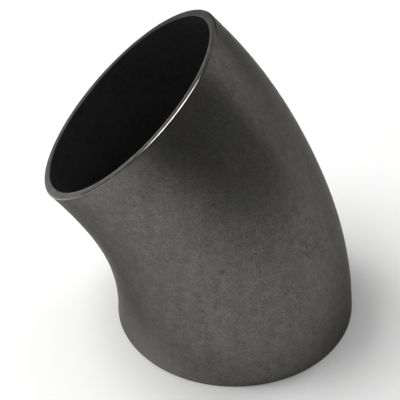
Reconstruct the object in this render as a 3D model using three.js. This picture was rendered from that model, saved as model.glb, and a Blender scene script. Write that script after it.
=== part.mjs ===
// Long-radius 45 degree butt-weld pipe elbow with equal ends, formed from one length of steel pipe.
// Millimetres, +Z up. It stands on its lower weld end, and its upper end leans towards -X.
import * as THREE from 'three';

// Pipe size: NPS 14, extra-strong wall.
const OUTSIDE_DIAMETER = 355.6;
const WALL = 12.7;

// Long-radius bend: the centreline radius is one and a half times the nominal size.
const BEND_RADIUS = 533.4;
const BEND_ANGLE = THREE.MathUtils.degToRad(45);
const CENTRE_TO_END = 222; // from each end face to where the two end axes cross

// Each end is faced square: a broad flat land next to the bore, then a small chamfer outside it.
const CHAMFER_WIDTH = 1.5; // measured radially
const CHAMFER_ANGLE = THREE.MathUtils.degToRad(37.5); // from the end face

// Forming leaves the middle of the bend a little flattened in the plane of the bend. The ends are round.
const FLATTENING = 0.03; // the fraction of the in-plane radius that is lost at mid-bend

// Facets: round the pipe, and along each of its two walls.
const FACETS_ROUND = 72;
const FACETS_ALONG = 16;

const outerRadius = OUTSIDE_DIAMETER / 2;
const boreRadius = outerRadius - WALL;
const landRadius = outerRadius - CHAMFER_WIDTH;
const chamferDepth = CHAMFER_WIDTH * Math.tan(CHAMFER_ANGLE);

// The arc alone doesn't reach the end faces, so a short straight stub joins it to each of them.
const stub = CENTRE_TO_END - BEND_RADIUS * Math.tan(BEND_ANGLE / 2);
const arcLength = BEND_RADIUS * BEND_ANGLE;
const developedLength = arcLength + 2 * stub;

// The pipe before bending: one closed wall profile turned about the pipe's axis, which ends up along Z
// with the lower end face at zero. Each long wall is divided along its length so that it can curve.
function straightPipe() {
  const profile = [];
  const addWall = (radius, from, to) => {
    for (let i = 0; i <= FACETS_ALONG; i += 1) {
      profile.push(new THREE.Vector2(radius, THREE.MathUtils.lerp(from, to, i / FACETS_ALONG)));
    }
  };
  profile.push(new THREE.Vector2(landRadius, 0));
  addWall(outerRadius, chamferDepth, developedLength - chamferDepth);
  profile.push(new THREE.Vector2(landRadius, developedLength));
  addWall(boreRadius, developedLength, 0);
  profile.push(profile[0].clone());

  const pipe = new THREE.LatheGeometry(profile, FACETS_ROUND);
  pipe.rotateX(Math.PI / 2);
  return pipe;
}

// Carries a point of the straight pipe to its place on the bend. The bend's axis is parallel to Y and
// lies at the bend radius on the -X side of the lower end.
function bendPoint(point) {
  const along = THREE.MathUtils.clamp(point.z - stub, 0, arcLength);
  const beyond = point.z - stub - along; // how far into a stub the point is, negative in the lower one
  const angle = along / BEND_RADIUS;
  const squash = FLATTENING * Math.sin(Math.PI * along / arcLength) ** 2;
  const reach = BEND_RADIUS + point.x * (1 - squash);
  point.set(
    reach * Math.cos(angle) - BEND_RADIUS - beyond * Math.sin(angle),
    point.y,
    reach * Math.sin(angle) + beyond * Math.cos(angle) + stub,
  );
}

function bendPipe(pipe) {
  const positions = pipe.getAttribute('position');
  const point = new THREE.Vector3();
  for (let i = 0; i < positions.count; i += 1) {
    bendPoint(point.fromBufferAttribute(positions, i));
    positions.setXYZ(i, point.x, point.y, point.z);
  }
  pipe.computeVertexNormals();
  pipe.computeBoundingBox();
  return pipe;
}

// Hot-formed carbon steel with its dark mill finish.
const millSteel = new THREE.MeshStandardMaterial({ color: 0x4f4f4d, roughness: 0.6, metalness: 0.75 });

const elbow = new THREE.Mesh(bendPipe(straightPipe()), millSteel);
elbow.name = 'elbow';

// The origin is on the floor, under the middle of the elbow's bounding box.
const { min, max } = elbow.geometry.boundingBox;
elbow.position.set(-(min.x + max.x) / 2, 0, -min.z);

const part = new THREE.Group();
part.add(elbow);

export default part;
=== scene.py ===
import math

import bpy
from mathutils import Matrix, Vector, noise


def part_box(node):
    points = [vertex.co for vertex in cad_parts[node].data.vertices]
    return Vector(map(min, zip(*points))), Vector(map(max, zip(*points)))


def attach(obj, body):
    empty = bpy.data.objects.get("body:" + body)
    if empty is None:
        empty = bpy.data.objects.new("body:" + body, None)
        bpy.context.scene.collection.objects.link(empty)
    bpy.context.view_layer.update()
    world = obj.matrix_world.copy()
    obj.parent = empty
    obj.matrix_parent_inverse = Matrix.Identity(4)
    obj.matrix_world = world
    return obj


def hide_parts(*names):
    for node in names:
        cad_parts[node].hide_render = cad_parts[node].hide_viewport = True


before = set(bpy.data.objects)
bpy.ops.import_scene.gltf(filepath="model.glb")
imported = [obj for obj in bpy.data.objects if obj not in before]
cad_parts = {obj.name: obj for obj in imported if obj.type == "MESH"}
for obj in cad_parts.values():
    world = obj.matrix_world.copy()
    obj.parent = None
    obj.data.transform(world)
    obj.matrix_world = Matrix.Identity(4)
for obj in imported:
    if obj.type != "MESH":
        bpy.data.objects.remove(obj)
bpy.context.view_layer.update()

# Driving dimensions, in metres: a long-radius 45 degree butt-weld elbow for NPS 14 extra-strong pipe.
OUTSIDE_DIAMETER = 0.3556
WALL = 0.0127
BEND_RADIUS = 0.5334
BEND_ANGLE = math.radians(45)
CENTRE_TO_END = 0.222
CHAMFER_WIDTH = 0.0015
CHAMFER_ANGLE = math.radians(37.5)
FLATTENING = 0.03

OUTER_RADIUS = OUTSIDE_DIAMETER / 2
BORE_RADIUS = OUTER_RADIUS - WALL
LAND_RADIUS = OUTER_RADIUS - CHAMFER_WIDTH
CHAMFER_DEPTH = CHAMFER_WIDTH * math.tan(CHAMFER_ANGLE)
STUB = CENTRE_TO_END - BEND_RADIUS * math.tan(BEND_ANGLE / 2)
ARC_LENGTH = BEND_RADIUS * BEND_ANGLE
DEVELOPED_LENGTH = ARC_LENGTH + 2 * STUB

# The upper end face lies square to this axis.
UPPER_AXIS = (-math.sin(BEND_ANGLE), 0.0, math.cos(BEND_ANGLE))

# The lower end's pipe axis stands this far to +X of the origin: its rim is the box's +X side.
AXIS_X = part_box("elbow")[1].x - OUTER_RADIUS

# How far the upper end face lies from the origin, along that axis. The two end axes cross
# CENTRE_TO_END above the lower face, and the upper face lies CENTRE_TO_END beyond the crossing.
UPPER_FACE = CENTRE_TO_END + Vector(UPPER_AXIS).dot(Vector((AXIS_X, 0.0, CENTRE_TO_END)))

# Wear and painted light: the skin is rubbed near the upper end. Near the lower end, more on its -X
# side, a lighter band is painted reflection of the floor. One shallow scar with a ragged edge lies on
# the front.
LOWER_PAINTED_REFLECTION_AXIS = (0.6, 0.0, 1.0)
LOWER_PAINTED_REFLECTION_HEIGHT = 0.03
LOWER_PAINTED_REFLECTION_EDGE = LOWER_PAINTED_REFLECTION_AXIS[0] * AXIS_X + LOWER_PAINTED_REFLECTION_HEIGHT
LOWER_PAINTED_REFLECTION_WIDTH = 0.11
UPPER_WEAR_WIDTH = 0.035
UPPER_WEAR_AMOUNT = 0.12
SCAR_PLACE = (AXIS_X + 0.0132, -0.1677, 0.225)
SCAR_INNER_RADIUS = 0.004
SCAR_OUTER_RADIUS = 0.008
SCAR_RAGGEDNESS = 0.004

# Mesh: steps round the pipe, along each wall, and round each small corner.
STEPS_ROUND = 288
STEPS_ALONG_OUTSIDE = 150
STEPS_ALONG_BORE = 90
CORNER_STEPS = 4
SHARP_CORNER = 0.0004
DULL_CORNER = 0.0008

# The as-formed outside waves a little. It only ever sinks below its nominal radius.
WAVE_DEPTH = 0.0007
WAVE_LENGTH = 0.11
RIPPLE_DEPTH = 0.00022
RIPPLE_LENGTH = 0.028
WAVE_FADE = 0.018

SURFACES = ["outside", "chamfer", "land", "bore"]

# Colours of the outside, linear.
OXIDE_GREY = (0.126, 0.124, 0.119)
OXIDE_BROWN = (0.131, 0.127, 0.116)
OXIDE_PALE = (0.186, 0.183, 0.174)
OXIDE_STREAK = (0.100, 0.098, 0.093)
OXIDE_GRAIN = (0.080, 0.078, 0.074)
OXIDE_PIT = (0.060, 0.059, 0.056)
BARE_SPECK = (0.280, 0.274, 0.262)
# pale steel: real rubbing near the upper end, and painted reflection of the floor near the lower end
RUBBED_STEEL_AND_PAINTED_REFLECTION = (0.275, 0.270, 0.260)
EDGE_TINT = (0.35, 0.35, 0.35, 1.0)

# Colours of the cut ends and the bore, linear.
CHAMFER_DULL = (0.160, 0.156, 0.149)
CHAMFER_BRIGHT = (0.228, 0.223, 0.214)
LAND_DULL = (0.097, 0.092, 0.085)
LAND_BRIGHT = (0.143, 0.137, 0.128)
LAND_DARKER = (0.058, 0.056, 0.052)
# The bore's near-black is partly its dark oxide and partly painted shade inside the pipe.
BORE_OXIDE_AND_SHADE_BLACK = (0.0090, 0.0090, 0.0090)
BORE_OXIDE_AND_SHADE_MOTTLE = (0.0130, 0.0130, 0.0128)
BORE_OXIDE_AND_SHADE_CLOUD = (0.0160, 0.0160, 0.0157)

CHAMFER_ROUGHNESS = 0.17
LAND_ROUGHNESS = 0.32

# Sizes of the marks on each surface, in metres across.
PATCH_SIZE = 0.055
TINT_SIZE = 0.035
MOTTLE_SIZE = 0.012
STREAK_SIZE = 0.012
HOLE_SIZE = 0.0042
SPECK_SIZE = 0.0040
GRAIN_SIZE = 0.0028
CUT_CLOUD_SIZE = 0.02
TOOL_MARK_SIZE = 0.0008
TOOL_MARK_DEPTH = 0.00006
BORE_MOTTLE_SIZE = 0.009
BORE_CLOUD_SIZE = 0.06

# Studio: the floor fades into the backdrop between these two distances from the middle.
FLOOR_SIZE = 6.4
FLOOR_COLOUR = (0.86, 0.86, 0.855, 1.0)
FLOOR_FADE = (1.4, 3.1)
BACKDROP_COLOUR = (1.0, 1.0, 1.0, 1.0)
ROOM_LIGHT_COLOUR = (0.060, 0.060, 0.061, 1.0)

# Lamps: name, place, what it points at, width and height, watts, and whether the steel mirrors it.
LAMPS = [
    ("overhead", (-1.42, 0.08, 2.5), (0.0, 0.0, 0.25), (1.7, 1.6), 74.0, True),
    ("front_fill", (-1.6, -2.6, 1.6), (0.0, 0.0, 0.1), (2.5, 2.5), 18.0, False),
    ("wash", (0.0, 0.0, 6.0), (0.0, 0.0, 0.0), (12.0, 12.0), 230.0, False),
    ("right_fill", (1.7, 2.0, 1.6), (0.4, 0.45, 0.0), (1.6, 1.6), 20.0, False),
    ("right_wall", (3.4, -0.4, 0.9), (0.0, 0.0, 0.3), (2.6, 1.6), 1.6, True),
    ("back_top", (-1.1, 2.6, 2.2), (-0.1, 0.0, 0.45), (1.8, 1.6), 3.6, True),
    ("left_wall", (-3.2, -0.3, 1.0), (0.0, 0.0, 0.3), (3.0, 1.6), 5.0, True),
    ("back_wall", (2.6, 2.4, 1.0), (0.0, 0.0, 0.3), (3.0, 1.8), 12.0, True),
]

# Camera: angles in degrees, place in metres, sensor and lens in millimetres.
CAMERA_AZIMUTH = 11.51
CAMERA_ELEVATION = 42.10
CAMERA_ROLL = -0.66
CAMERA_TARGET = (AXIS_X - 0.1476 * OUTSIDE_DIAMETER, 0.0, 0.5791 * OUTSIDE_DIAMETER)
CAMERA_DISTANCE = 15.924 * OUTSIDE_DIAMETER
CAMERA_SENSOR = 36.0
CAMERA_LENS = 342.34


def corner(before, at, after, size):
    """A small rounded corner: points on a curve that leaves one straight edge and joins the next."""
    start = at + (before - at).normalized() * size
    end = at + (after - at).normalized() * size
    points = []
    for step in range(CORNER_STEPS + 1):
        t = step / CORNER_STEPS
        points.append(start * (1 - t) ** 2 + at * 2 * t * (1 - t) + end * t ** 2)
    return points


def wall_profile():
    """The closed outline of the wall: (radius, station) points, each with the surface after it."""
    low, high = 0.0, DEVELOPED_LENGTH
    land_bore = [Vector((BORE_RADIUS, low)), Vector((BORE_RADIUS, high))]
    land_edge = [Vector((LAND_RADIUS, low)), Vector((LAND_RADIUS, high))]
    rim = [Vector((OUTER_RADIUS, low + CHAMFER_DEPTH)), Vector((OUTER_RADIUS, high - CHAMFER_DEPTH))]

    profile = []

    def add(points, surface):
        profile.extend((point, surface) for point in points)

    def along(start, end, steps, surface):
        add([start.lerp(end, i / steps) for i in range(1, steps)], surface)

    # lower end: across the land and the chamfer
    add(corner(land_bore[1], land_bore[0], land_edge[0], DULL_CORNER), "land")
    add(corner(land_bore[0], land_edge[0], rim[0], SHARP_CORNER), "chamfer")
    lower_rim = corner(land_edge[0], rim[0], rim[1], SHARP_CORNER)
    add(lower_rim[:-1], "chamfer")
    add(lower_rim[-1:], "outside")
    # up the outside
    upper_rim = corner(rim[0], rim[1], land_edge[1], SHARP_CORNER)
    along(lower_rim[-1], upper_rim[0], STEPS_ALONG_OUTSIDE, "outside")
    add(upper_rim, "chamfer")
    # upper end: across the chamfer and the land
    land_corner = corner(rim[1], land_edge[1], land_bore[1], SHARP_CORNER)
    add(land_corner[:-1], "chamfer")
    add(land_corner[-1:], "land")
    upper_lip = corner(land_edge[1], land_bore[1], land_bore[0], DULL_CORNER)
    add(upper_lip[:-1], "land")
    add(upper_lip[-1:], "bore")
    # down the bore
    along(upper_lip[-1], profile[0][0], STEPS_ALONG_BORE, "bore")
    return profile


def bend_point(x, y, station):
    """Where a point of the straight pipe goes on the bent one, in the row frame."""
    along = min(max(station - STUB, 0.0), ARC_LENGTH)
    beyond = station - STUB - along
    angle = along / BEND_RADIUS
    squash = FLATTENING * math.sin(math.pi * along / ARC_LENGTH) ** 2
    reach = BEND_RADIUS + x * (1 - squash)
    return Vector((
        AXIS_X + reach * math.cos(angle) - BEND_RADIUS - beyond * math.sin(angle),
        y,
        reach * math.sin(angle) + beyond * math.cos(angle) + STUB,
    ))


def sink(radius, turn, station):
    """How far the formed outside lies inside its nominal radius. The turned ends run true."""
    from_end = min(station, DEVELOPED_LENGTH - station) - CHAMFER_DEPTH
    fade = min(max(from_end / WAVE_FADE, 0.0), 1.0)
    fade = fade * fade * (3 - 2 * fade)
    place = Vector((radius * math.cos(turn), radius * math.sin(turn), station))
    wave = 0.5 + 0.5 * noise.noise(place / WAVE_LENGTH)
    ripple = 0.5 + 0.5 * noise.noise(place / RIPPLE_LENGTH)
    return fade * (WAVE_DEPTH * wave + RIPPLE_DEPTH * ripple)


def make_elbow():
    """The elbow's surface: the wall outline turned about the pipe's axis, then bent."""
    profile = wall_profile()
    around = len(profile)
    vertices = []
    for step in range(STEPS_ROUND):
        turn = 2 * math.pi * step / STEPS_ROUND
        for (radius, station), surface in profile:
            if surface == "outside":
                radius = radius - sink(radius, turn, station)
            vertices.append(bend_point(radius * math.cos(turn), radius * math.sin(turn), station))
    faces = []
    surfaces = []
    for step in range(STEPS_ROUND):
        here = step * around
        there = (step + 1) % STEPS_ROUND * around
        for i in range(around):
            j = (i + 1) % around
            faces.append((here + i, there + i, there + j, here + j))
            surfaces.append(SURFACES.index(profile[i][1]))
    mesh = bpy.data.meshes.new("elbow_surface")
    mesh.from_pydata(vertices, [], faces)
    mesh.polygons.foreach_set("material_index", surfaces)
    mesh.polygons.foreach_set("use_smooth", [True] * len(faces))
    mesh.update()
    return bpy.data.objects.new("elbow_body", mesh)


# Materials

# The end lands are darker towards -X and +Y. The darkening starts a little past the middle of
# the upper mouth.
LAND_DARKER_AXIS = (-0.5, 0.707, -0.5)
LAND_DARKER_PAST_MIDDLE = 0.03
LAND_DARKER_START = bend_point(0.0, 0.0, DEVELOPED_LENGTH).dot(Vector(LAND_DARKER_AXIS)) + LAND_DARKER_PAST_MIDDLE
LAND_DARKER_WIDTH = 0.09


def new_material(name):
    """A material with one Principled shader, and that shader."""
    material = bpy.data.materials.new(name)
    material.use_nodes = True
    nodes = material.node_tree.nodes
    nodes.clear()
    output = nodes.new("ShaderNodeOutputMaterial")
    shader = nodes.new("ShaderNodeBsdfPrincipled")
    material.node_tree.links.new(shader.outputs["BSDF"], output.inputs["Surface"])
    return material, shader


class Nodes:
    """Short ways to add the nodes of one material."""

    def __init__(self, material):
        self.tree = material.node_tree
        self.place = self.tree.nodes.new("ShaderNodeTexCoord").outputs["Object"]

    def link(self, output, socket):
        self.tree.links.new(output, socket)

    def noise(self, size, detail=2.0, roughness=0.5, place=None):
        """Soft noise whose blobs are about size metres across, from 0 to 1."""
        node = self.tree.nodes.new("ShaderNodeTexNoise")
        node.inputs["Scale"].default_value = 1 / size
        node.inputs["Detail"].default_value = detail
        node.inputs["Roughness"].default_value = roughness
        self.link(place or self.place, node.inputs["Vector"])
        return node.outputs["Fac"]

    def stretched(self, x, y, z):
        """The place, scaled along each axis."""
        node = self.tree.nodes.new("ShaderNodeMapping")
        node.inputs["Scale"].default_value = (x, y, z)
        self.link(self.place, node.inputs["Vector"])
        return node.outputs["Vector"]

    def remap(self, value, low, high, to_low=0.0, to_high=1.0):
        """A smooth step from to_low, where value is low, to to_high, where value is high."""
        node = self.tree.nodes.new("ShaderNodeMapRange")
        node.interpolation_type = "SMOOTHSTEP"
        node.inputs["From Min"].default_value = low
        node.inputs["From Max"].default_value = high
        node.inputs["To Min"].default_value = to_low
        node.inputs["To Max"].default_value = to_high
        self.link(value, node.inputs["Value"])
        return node.outputs["Result"]

    def math(self, operation, a, b):
        """One sum on two numbers or outputs."""
        node = self.tree.nodes.new("ShaderNodeMath")
        node.operation = operation
        for socket, value in zip(node.inputs, (a, b)):
            if isinstance(value, (int, float)):
                socket.default_value = value
            else:
                self.link(value, socket)
        return node.outputs["Value"]

    def mix(self, factor, a, b):
        """Colour a where factor is 0 and b where it is 1."""
        node = self.tree.nodes.new("ShaderNodeMix")
        node.data_type = "RGBA"
        self.link(factor, node.inputs["Factor"])
        for socket, value in ((node.inputs["A"], a), (node.inputs["B"], b)):
            if isinstance(value, tuple):
                socket.default_value = (*value, 1.0)
            else:
                self.link(value, socket)
        return node.outputs["Result"]

    def along(self, axis):
        """How far the place lies along an axis, in metres from the origin."""
        node = self.tree.nodes.new("ShaderNodeVectorMath")
        node.operation = "DOT_PRODUCT"
        self.link(self.place, node.inputs[0])
        node.inputs[1].default_value = axis
        return node.outputs["Value"]

    def distance_to(self, point):
        """How far the place lies from a point, in metres."""
        node = self.tree.nodes.new("ShaderNodeVectorMath")
        node.operation = "DISTANCE"
        self.link(self.place, node.inputs[0])
        node.inputs[1].default_value = point
        return node.outputs["Value"]

    def bump(self, height, distance, strength, normal=None):
        """A normal tilted as if height, from 0 to 1, stood distance metres high."""
        node = self.tree.nodes.new("ShaderNodeBump")
        node.inputs["Strength"].default_value = strength
        node.inputs["Distance"].default_value = distance
        self.link(height, node.inputs["Height"])
        if normal:
            self.link(normal, node.inputs["Normal"])
        return node.outputs["Normal"]


def mill_scale():
    """The outside: dark oxide skin with patches of fine pitting, colour changes and rubbed specks."""
    material, shader = new_material("mill_scale")
    n = Nodes(material)
    patches = n.noise(PATCH_SIZE, detail=2.0)
    tint = n.noise(TINT_SIZE, detail=1.0, place=n.stretched(1.0, 1.0, 0.6))
    mottle = n.noise(MOTTLE_SIZE, detail=3.0, roughness=0.55)
    grain = n.noise(GRAIN_SIZE, detail=2.0, roughness=0.6)
    holes = n.noise(HOLE_SIZE, detail=2.0, roughness=0.55)
    streaks = n.noise(STREAK_SIZE, detail=2.0, place=n.stretched(1.0, 1.0, 0.12))
    pitted = n.remap(patches, 0.45, 0.65, 0.05, 1.0)
    pits = n.math("MULTIPLY", n.remap(holes, 0.58, 0.70), pitted)
    specks = n.remap(n.noise(SPECK_SIZE, detail=1.0), 0.68, 0.78)
    scar_distance = n.math("ADD", n.distance_to(SCAR_PLACE), n.math("MULTIPLY", grain, SCAR_RAGGEDNESS))
    scar = n.remap(scar_distance, SCAR_INNER_RADIUS, SCAR_OUTER_RADIUS, 1.0, 0.0)
    # painted reflection: the outside is painted lighter towards the lower end, more on its -X side
    lower_painted_reflection = n.remap(n.along(LOWER_PAINTED_REFLECTION_AXIS), LOWER_PAINTED_REFLECTION_EDGE, LOWER_PAINTED_REFLECTION_EDGE - LOWER_PAINTED_REFLECTION_WIDTH)
    upper_wear = n.remap(
        n.along(UPPER_AXIS), UPPER_FACE - UPPER_WEAR_WIDTH, UPPER_FACE, 0.0, UPPER_WEAR_AMOUNT
    )

    # each layer: where it lies, how strong it is, and its colour
    colour = n.mix(n.remap(tint, 0.35, 0.65), OXIDE_GREY, OXIDE_BROWN)
    for where, strength, layer in (
        (n.remap(mottle, 0.3, 0.7), 0.5, OXIDE_PALE),
        (n.remap(streaks, 0.35, 0.7), 0.3, OXIDE_STREAK),
        (n.remap(grain, 0.42, 0.68), 0.6, OXIDE_GRAIN),
        (pits, 0.6, OXIDE_PIT),
        (specks, 0.4, BARE_SPECK),
        (scar, 0.55, OXIDE_PIT),
        # painted reflection near the lower end, and real rubbing near the upper end
        (n.math("MAXIMUM", lower_painted_reflection, upper_wear), 0.7, RUBBED_STEEL_AND_PAINTED_REFLECTION),
    ):
        colour = n.mix(n.math("MULTIPLY", where, strength), colour, layer)
    n.link(colour, shader.inputs["Base Color"])

    rough = n.remap(mottle, 0.3, 0.7, 0.38, 0.32)
    n.link(n.math("ADD", rough, n.math("MULTIPLY", pits, 0.15)), shader.inputs["Roughness"])
    shader.inputs["Metallic"].default_value = 0.9
    shader.inputs["Specular Tint"].default_value = EDGE_TINT

    # each relief: its height, how many metres high it stands, and how strong it is
    normal = None
    for height, distance, strength in (
        (mottle, 0.0003, 0.4),
        (grain, 0.00018, 0.6),
        (n.math("SUBTRACT", 1.0, pits), 0.00025, 0.6),
        (n.math("SUBTRACT", 1.0, scar), 0.0008, 0.6),
    ):
        normal = n.bump(height, distance, strength, normal)
    n.link(normal, shader.inputs["Normal"])
    return material


def cut_steel(name, dull, bright, rough, darker_colour=None):
    """A cut surface at an end, with fine tool marks. Its colour wanders between dull and bright,
    and turns to a darker colour on one side if one is given."""
    material, shader = new_material(name)
    n = Nodes(material)
    cloud = n.noise(CUT_CLOUD_SIZE, detail=3.0)
    marks = n.noise(TOOL_MARK_SIZE, detail=1.0)
    colour = n.mix(n.remap(cloud, 0.35, 0.65), dull, bright)
    if darker_colour:
        darker_side = n.remap(n.along(LAND_DARKER_AXIS), LAND_DARKER_START, LAND_DARKER_START + LAND_DARKER_WIDTH)
        colour = n.mix(darker_side, colour, darker_colour)
    n.link(colour, shader.inputs["Base Color"])
    n.link(n.remap(cloud, 0.3, 0.7, rough + 0.05, rough), shader.inputs["Roughness"])
    shader.inputs["Metallic"].default_value = 1.0
    n.link(n.bump(marks, TOOL_MARK_DEPTH, 0.5), shader.inputs["Normal"])
    return material


def bore_oxide_and_painted_shade():
    """The bore: dark oxide with little gloss, painted near-black, partly its oxide and partly painted
    shade inside the pipe.
    """
    material, shader = new_material("bore_oxide_and_painted_shade")
    n = Nodes(material)
    mottle = n.noise(BORE_MOTTLE_SIZE, detail=4.0, roughness=0.6)
    cloud = n.noise(BORE_CLOUD_SIZE, detail=2.0)
    # painted shade: the bore's colours lie far below the outside's oxide, for the shade inside the pipe
    colour = n.mix(n.remap(mottle, 0.35, 0.65), BORE_OXIDE_AND_SHADE_BLACK, BORE_OXIDE_AND_SHADE_MOTTLE)
    colour = n.mix(n.math("MULTIPLY", n.remap(cloud, 0.4, 0.6), 0.4), colour, BORE_OXIDE_AND_SHADE_CLOUD)
    n.link(colour, shader.inputs["Base Color"])
    n.link(n.remap(mottle, 0.3, 0.7, 0.72, 0.6), shader.inputs["Roughness"])
    shader.inputs["Metallic"].default_value = 0.0
    shader.inputs["Specular IOR Level"].default_value = 0.2
    n.link(n.bump(mottle, 0.0004, 0.5), shader.inputs["Normal"])
    return material


# Studio

def make_floor():
    """A pale floor under the part, clear at its edge."""
    half = FLOOR_SIZE / 2
    corners = [(-half, -half, 0), (half, -half, 0), (half, half, 0), (-half, half, 0)]
    mesh = bpy.data.meshes.new("floor_surface")
    mesh.from_pydata(corners, [], [(0, 1, 2, 3)])
    floor = bpy.data.objects.new("floor", mesh)
    bpy.context.scene.collection.objects.link(floor)
    material, shader = new_material("floor_paper")
    shader.inputs["Base Color"].default_value = FLOOR_COLOUR
    shader.inputs["Roughness"].default_value = 0.9
    shader.inputs["Specular IOR Level"].default_value = 0.1
    n = Nodes(material)
    clear = n.tree.nodes.new("ShaderNodeBsdfTransparent")
    edge = n.tree.nodes.new("ShaderNodeMixShader")
    n.link(n.remap(n.distance_to((0.0, 0.0, 0.0)), *FLOOR_FADE), edge.inputs["Fac"])
    n.link(shader.outputs["BSDF"], edge.inputs[1])
    n.link(clear.outputs["BSDF"], edge.inputs[2])
    output = next(node for node in n.tree.nodes if node.type == "OUTPUT_MATERIAL")
    n.link(edge.outputs["Shader"], output.inputs["Surface"])
    mesh.materials.append(material)


def area_light(name, place, aim, size, power, mirrored):
    """A rectangular lamp at place that points at aim."""
    light = bpy.data.lights.new(name, "AREA")
    light.shape = "RECTANGLE"
    light.size = size[0]
    light.size_y = size[1]
    light.energy = power
    lamp = bpy.data.objects.new(name, light)
    bpy.context.scene.collection.objects.link(lamp)
    lamp.location = place
    lamp.rotation_euler = (Vector(aim) - Vector(place)).to_track_quat("-Z", "Y").to_euler()
    lamp.visible_glossy = mirrored


def make_world():
    """A pale room for the camera, and a dimmer one for the light that falls on the part."""
    world = bpy.data.worlds.new("studio")
    world.use_nodes = True
    nodes = world.node_tree.nodes
    links = world.node_tree.links
    nodes.clear()
    output = nodes.new("ShaderNodeOutputWorld")
    seen = nodes.new("ShaderNodeBackground")
    seen.inputs["Color"].default_value = BACKDROP_COLOUR
    lit = nodes.new("ShaderNodeBackground")
    lit.inputs["Color"].default_value = ROOM_LIGHT_COLOUR
    path = nodes.new("ShaderNodeLightPath")
    mix = nodes.new("ShaderNodeMixShader")
    links.new(path.outputs["Is Camera Ray"], mix.inputs["Fac"])
    links.new(lit.outputs["Background"], mix.inputs[1])
    links.new(seen.outputs["Background"], mix.inputs[2])
    links.new(mix.outputs["Shader"], output.inputs["Surface"])
    bpy.context.scene.world = world


def make_camera():
    """Looks down at the mouth from the front, a little to the right, with a long lens."""
    azimuth = math.radians(CAMERA_AZIMUTH)
    elevation = math.radians(CAMERA_ELEVATION)
    roll = math.radians(CAMERA_ROLL)
    back = Vector((
        math.sin(azimuth) * math.cos(elevation),
        -math.cos(azimuth) * math.cos(elevation),
        math.sin(elevation),
    ))
    level_right = Vector((math.cos(azimuth), math.sin(azimuth), 0.0))
    level_up = back.cross(level_right)
    right = math.cos(roll) * level_right + math.sin(roll) * level_up
    up = math.cos(roll) * level_up - math.sin(roll) * level_right
    data = bpy.data.cameras.new("camera")
    data.sensor_width = CAMERA_SENSOR
    data.lens = CAMERA_LENS
    camera = bpy.data.objects.new("camera", data)
    bpy.context.scene.collection.objects.link(camera)
    camera.matrix_world = Matrix.LocRotScale(
        Vector(CAMERA_TARGET) + back * CAMERA_DISTANCE,
        Matrix((right, up, back)).transposed(),
        None,
    )
    bpy.context.scene.camera = camera


elbow = make_elbow()
bpy.context.scene.collection.objects.link(elbow)
looks = {
    "outside": mill_scale(),
    "chamfer": cut_steel("ground_chamfer", CHAMFER_DULL, CHAMFER_BRIGHT, CHAMFER_ROUGHNESS),
    "land": cut_steel("faced_land", LAND_DULL, LAND_BRIGHT, LAND_ROUGHNESS, LAND_DARKER),
    "bore": bore_oxide_and_painted_shade(),
}
for surface in SURFACES:
    elbow.data.materials.append(looks[surface])
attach(elbow, "root")
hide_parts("elbow")

make_floor()
make_world()
for lamp in LAMPS:
    area_light(*lamp)
make_camera()
bpy.context.scene.view_settings.view_transform = "Standard"
